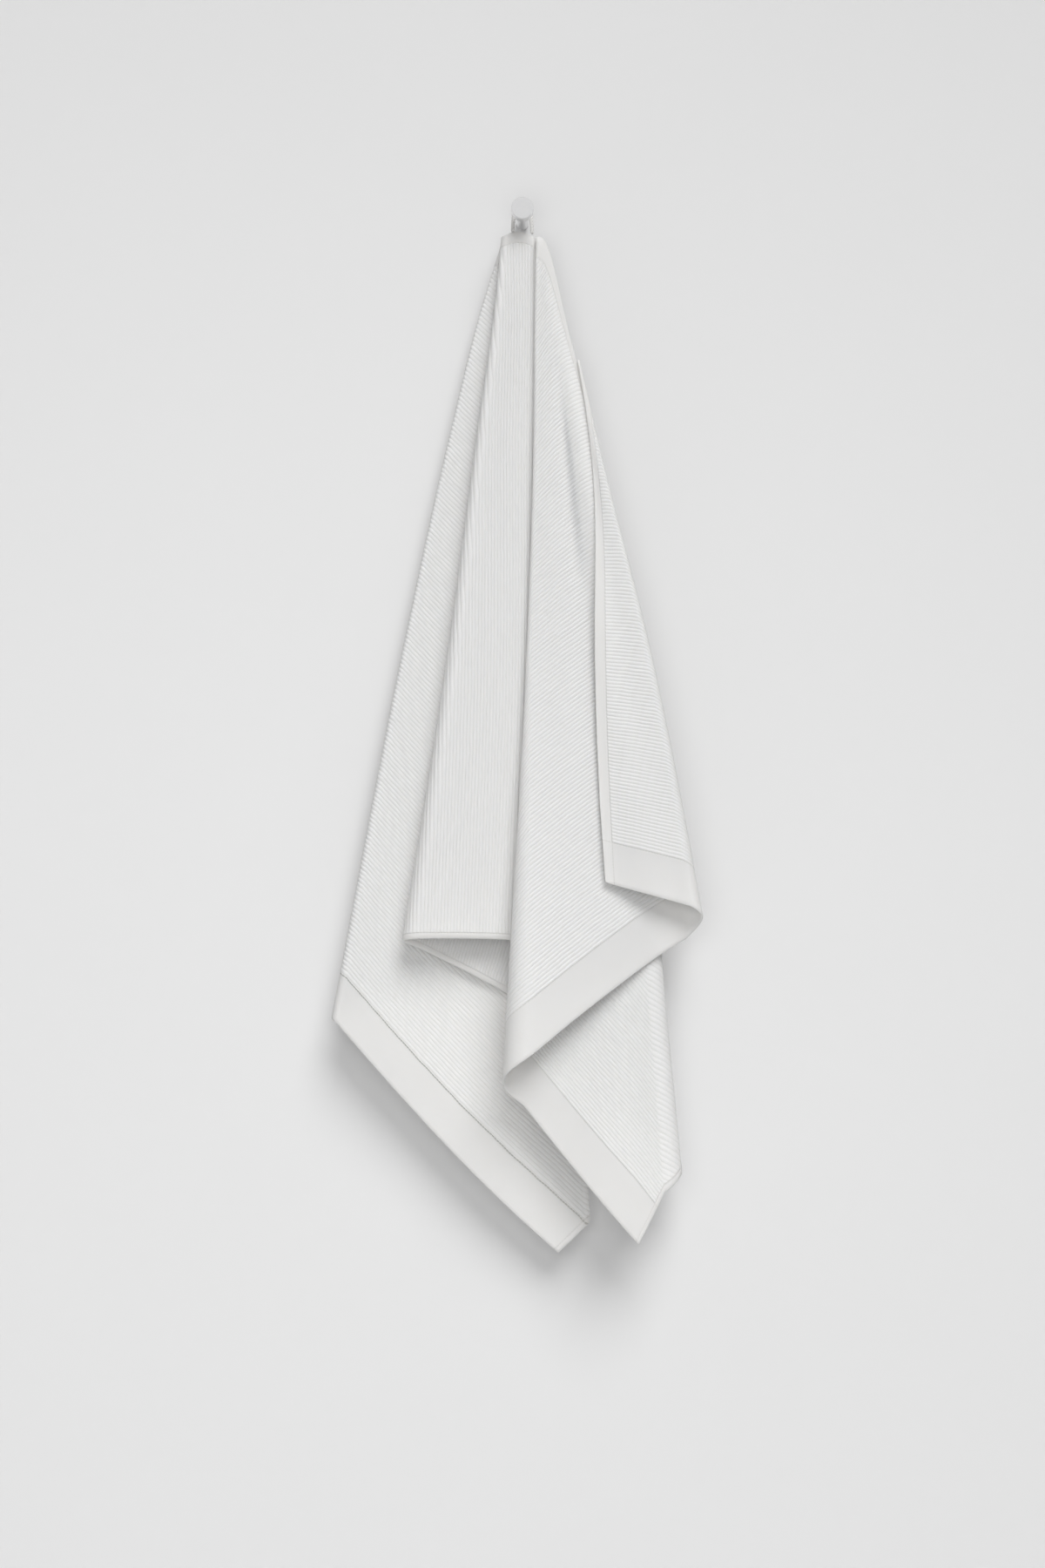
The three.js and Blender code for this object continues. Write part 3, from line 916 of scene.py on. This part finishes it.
@dataclass
class HangingLoop:
    """Plied cotton cord over the peg's neck (millimetres).

    strand gives two places on each strand below the neck: how far it stands off the neck's side, how far in
    front of the loop's own depth, and its height.
    """

    finish: TwistedCotton
    cord: float = 4.0
    clearance: float = 0.4
    neck: float = 12.5
    depth: float = -39.0
    left_foot: Point = (-9.6, -45.4, -18.6)
    right_foot: Point = (9.6, -45.2, -20.35)
    strand: tuple[Point, ...] = ((0.3, -1.4, -6.5), (0.7, -4.4, -13.0))
    turn_steps: int = 12
    curve_steps: int = 20
    plies: int = 3
    ply_share: float = 0.265
    lay: float = 10.0
    step: float = 0.5
    sides: int = 12

    def route(self) -> Array:
        """Middle line of the cord.

        Returns:
            Evenly spaced points from foot to foot.
        """
        wrap = self.neck / 2 + self.clearance + self.cord / 2
        right = [(wrap + off, self.depth + ahead, height) for off, ahead, height in self.strand]
        left = [(-x, y, z) for x, y, z in reversed(right)]
        turns = [math.pi * (1 - i / self.turn_steps) for i in range(self.turn_steps + 1)]
        over = [(wrap * math.cos(angle), self.depth, wrap * math.sin(angle)) for angle in turns]
        knots = np.array([self.left_foot, *left, *over, *right, self.right_foot])
        knots = np.vstack([2 * knots[0] - knots[1], knots, 2 * knots[-1] - knots[-2]])
        dense = []
        for a, b, c, d in zip(knots, knots[1:], knots[2:], knots[3:]):
            for t in np.linspace(0, 1, self.curve_steps, endpoint=False):
                dense.append(0.5 * (2 * b + (c - a) * t + (2 * a - 5 * b + 4 * c - d) * t ** 2
                                    + (3 * b - a - 3 * c + d) * t ** 3))
        dense.append(knots[-2])
        line = np.array(dense)
        run = np.concatenate([[0], np.cumsum(np.linalg.norm(np.diff(line, axis=0), axis=1))])
        even = np.linspace(0, run[-1], int(run[-1] / self.step))
        return np.stack([np.interp(even, run, line[:, k]) for k in range(3)], axis=-1)

    @staticmethod
    def frames(line: Array) -> tuple[Array, Array]:
        """Two directions square to a line that don't twist along it.

        Args:
            line: points along the line.

        Returns:
            The two unit directions at each point.
        """
        ahead = np.gradient(line, axis=0)
        ahead /= np.linalg.norm(ahead, axis=1, keepdims=True)
        first = np.empty_like(line)
        guide = np.array([0.0, 1.0, 0.0])
        for i, way in enumerate(ahead):
            guide = guide - way * np.dot(guide, way)
            guide = guide / np.linalg.norm(guide)
            first[i] = guide
        return first, np.cross(ahead, first)

    def build(self) -> Object:
        """Wind the plies round the route.

        Returns:
            The loop object.
        """
        line = self.route()
        first, second = self.frames(line)
        ply = self.cord * self.ply_share
        off = self.cord / 2 - ply
        travel = np.arange(len(line)) * self.step
        turn = 2 * math.pi * np.arange(self.sides)[:, None] / self.sides
        vertices: list[Array] = []
        faces: list[tuple[int, ...]] = []
        for p in range(self.plies):
            angle = 2 * math.pi * (travel / self.lay + p / self.plies)[:, None]
            middle = line + off * (np.cos(angle) * first + np.sin(angle) * second)
            a, b = self.frames(middle)
            rings = middle[:, None] + ply * (np.cos(turn) * a[:, None] + np.sin(turn) * b[:, None])
            base = len(vertices)
            end = base + (len(line) - 1) * self.sides
            vertices.extend(rings.reshape(-1, 3))
            for here in range(base, end, self.sides):
                ahead = here + self.sides
                for k in range(self.sides):
                    n = (k + 1) % self.sides
                    faces.append((here + k, here + n, ahead + n, ahead + k))
            faces.append(tuple(range(base + self.sides - 1, base - 1, -1)))
            faces.append(tuple(range(end, end + self.sides)))
        return mesh_object("hanging_loop_cord", np.array(vertices) * MM, faces)

    def dress(self, loop: Object) -> None:
        """Give the loop its finish and its place in the frame.

        Args:
            loop: the built loop.
        """
        loop.data.materials.append(self.finish.material())
        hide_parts("hanging_loop")
        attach(loop, BODY)


@dataclass
class PegHook:
    """Turned wall peg with a round head (millimetres)."""

    finish: SatinSteel
    length: float = 65.0
    neck: float = 12.5
    head: float = 22.0
    head_thickness: float = 11.0
    edge_round: float = 1.1
    back_round: float = 0.66
    root_round: float = 0.8
    round_steps: int = 6
    neck_rings: Pair = (2.0, 8.0)
    face_rings: Pair = (0.6, 0.2)
    sides: int = 96

    def profile(self) -> list[Pair]:
        """Outline of the peg from the wall to the face of the head.

        Returns:
            Radius and distance from the wall at each step.
        """
        neck, head, back = self.neck / 2, self.head / 2, self.length - self.head_thickness
        steps = [(neck, 0.0), (neck, self.neck_rings[0]), (neck, back - self.neck_rings[1])]
        rounds = ((neck + self.root_round, back - self.root_round, self.root_round, 180, 90),
                  (head - self.back_round, back + self.back_round, self.back_round, -90, 0),
                  (head - self.edge_round, self.length - self.edge_round, self.edge_round, 0, 90))
        for x, y, radius, start, stop in rounds:
            for i in range(self.round_steps + 1):
                t = math.radians(start + (stop - start) * i / self.round_steps)
                steps.append((x + radius * math.cos(t), y + radius * math.sin(t)))
        return steps + [(head * ring, self.length) for ring in self.face_rings]

    def build(self) -> Object:
        """Turn the profile about the peg's axis.

        Returns:
            The peg object.
        """
        profile = self.profile()
        turn = [2 * math.pi * i / self.sides for i in range(self.sides)]
        side = [(radius * math.cos(t), -reach, radius * math.sin(t)) for radius, reach in profile
                for t in turn]
        vertices = [(0.0, 0.0, 0.0), *side, (0.0, -self.length, 0.0)]
        tip, rim = len(vertices) - 1, 1 + (len(profile) - 1) * self.sides
        faces: list[tuple[int, ...]] = []
        for i in range(self.sides):
            n = (i + 1) % self.sides
            faces.append((0, 1 + n, 1 + i))
            for a in range(1, rim, self.sides):
                b = a + self.sides
                faces.append((a + i, a + n, b + n, b + i))
            faces.append((tip, rim + i, rim + n))
        return mesh_object("wall_peg", np.array(vertices) * MM, faces)

    def dress(self, peg: Object) -> None:
        """Give the peg its finish and its place in the frame.

        Args:
            peg: the built peg.
        """
        peg.data.materials.append(self.finish.material())
        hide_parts("peg_hook")
        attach(peg, BODY)


@dataclass(frozen=True)
class SoftLamp:
    """One soft light (metres): a sun with a spread in degrees, or else a disk of a size."""

    name: str
    place: Point
    energy: float
    spread: float = 0.0
    size: float = 0.0

    def build(self, aim: Point) -> None:
        """Set the lamp up, so that it isn't seen itself.

        Args:
            aim: what it points at.
        """
        data = bpy.data.lights.new(self.name, "SUN" if self.spread else "AREA")
        data.energy = self.energy
        if self.spread:
            data.angle = math.radians(self.spread)
        else:
            data.shape, data.size = "DISK", self.size
        made = bpy.data.objects.new(self.name, data)
        made.location = self.place
        made.rotation_euler = (Vector(aim) - Vector(self.place)).to_track_quat("-Z", "Y").to_euler()
        made.visible_camera = False
        made.visible_glossy = False
        bpy.context.scene.collection.objects.link(made)


@dataclass
class Studio:
    """Plain pale room, soft light and the camera (metres)."""

    floor_z: float = -1.75
    wall_y: float = 0.0006
    wall_size: Pair = (9.0, 4.5)
    wall_paint: MattPaint = MattPaint("wall_emulsion_rolled", "E9E9E9", one_sided=True)
    floor_paint: MattPaint = MattPaint("floor_paint_rolled", "CCCCCC")
    camera_place: Point = (0.0, -2.35, -0.5671)
    lens: float = 53.3
    sky: str = "FAFAFA"
    sky_strength: float = 0.24
    backdrop: str = "ECECEC"
    lamps: tuple[SoftLamp, ...] = (
        SoftLamp("soft_top", (0.8, -2.48, 2.44), 2.1, spread=32.0),
        SoftLamp("soft_rear", (-1.0, 3.0, 1.8), 0.5, spread=70.0),
        SoftLamp("soft_front", (-0.14, -2.0, -0.45), 10.0, size=1.3),
    )
    aim: Point = (0.0, 0.0, -0.6)

    def plane(self, name: str, corners: Sequence[Point], finish: MattPaint) -> Object:
        """Make one painted surface of the room.

        Args:
            name: object name.
            corners: its corners, seen anticlockwise from its front.
            finish: its paint.

        Returns:
            The surface.
        """
        made = mesh_object(name, np.array(corners), [tuple(range(len(corners)))])
        made.data.materials.append(finish.material())
        return made

    def build(self) -> None:
        """Build the floor and the wall."""
        half, low = self.wall_size[0] / 2, self.floor_z
        back, top = self.wall_y, self.floor_z + self.wall_size[1]
        level = [(-half, -half, low), (half, -half, low), (half, half, low), (-half, half, low)]
        upright = [(-half, back, low), (half, back, low), (half, back, top), (-half, back, top)]
        self.plane("studio_floor", level, self.floor_paint)
        wall = self.plane("studio_wall", upright, self.wall_paint)
        # The wall lets the rear light through and throws none back, so that the towel's back is lit evenly.
        wall.visible_diffuse = False
        wall.visible_shadow = False

    def light(self) -> None:
        """Set the even room light, wide soft lights from above and behind, and one beside the camera."""
        scene = bpy.context.scene
        scene.world = world = bpy.data.worlds.new("studio_room")
        world.use_nodes = True
        tree = world.node_tree
        tree.nodes.clear()
        # The pale paper round the room is what shows behind the towel and in the steel; matt surfaces get
        # the dimmer light of the room, so that the soft lights give them their shadows.
        room = add_node(tree, "ShaderNodeBackground", (linear_colour(self.sky), self.sky_strength))
        paper = add_node(tree, "ShaderNodeBackground", (linear_colour(self.backdrop),))
        matt = add_node(tree, "ShaderNodeLightPath").outputs["Is Diffuse Ray"]
        seen = add_node(tree, "ShaderNodeMixShader", (matt, paper, room))
        add_node(tree, "ShaderNodeOutputWorld", (seen,))
        for lamp in self.lamps:
            lamp.build(self.aim)
        scene.view_settings.view_transform = "Standard"

    def shoot(self) -> None:
        """Set the camera level, straight in front of the towel."""
        data = bpy.data.cameras.new("front_camera")
        data.lens = self.lens
        camera = bpy.data.objects.new("front_camera", data)
        camera.location = self.camera_place
        camera.rotation_euler = (math.pi / 2, 0.0, 0.0)
        bpy.context.scene.collection.objects.link(camera)
        bpy.context.scene.camera = camera


def main() -> None:
    """Build the room, the peg, the loop and the towel."""
    logging.basicConfig(level=logging.INFO, format="%(message)s")
    studio = Studio()
    studio.shoot()
    studio.build()
    studio.light()
    for part in (PegHook(SatinSteel()), HangingLoop(TwistedCotton()),
                 Towel(HangingCloth(), RibbedCotton(), Hems())):
        piece = part.build()
        part.dress(piece)
        LOG.info("%s: %d vertices, %d faces", piece.name, len(piece.data.vertices), len(piece.data.polygons))


if __name__ == "__main__":
    main()
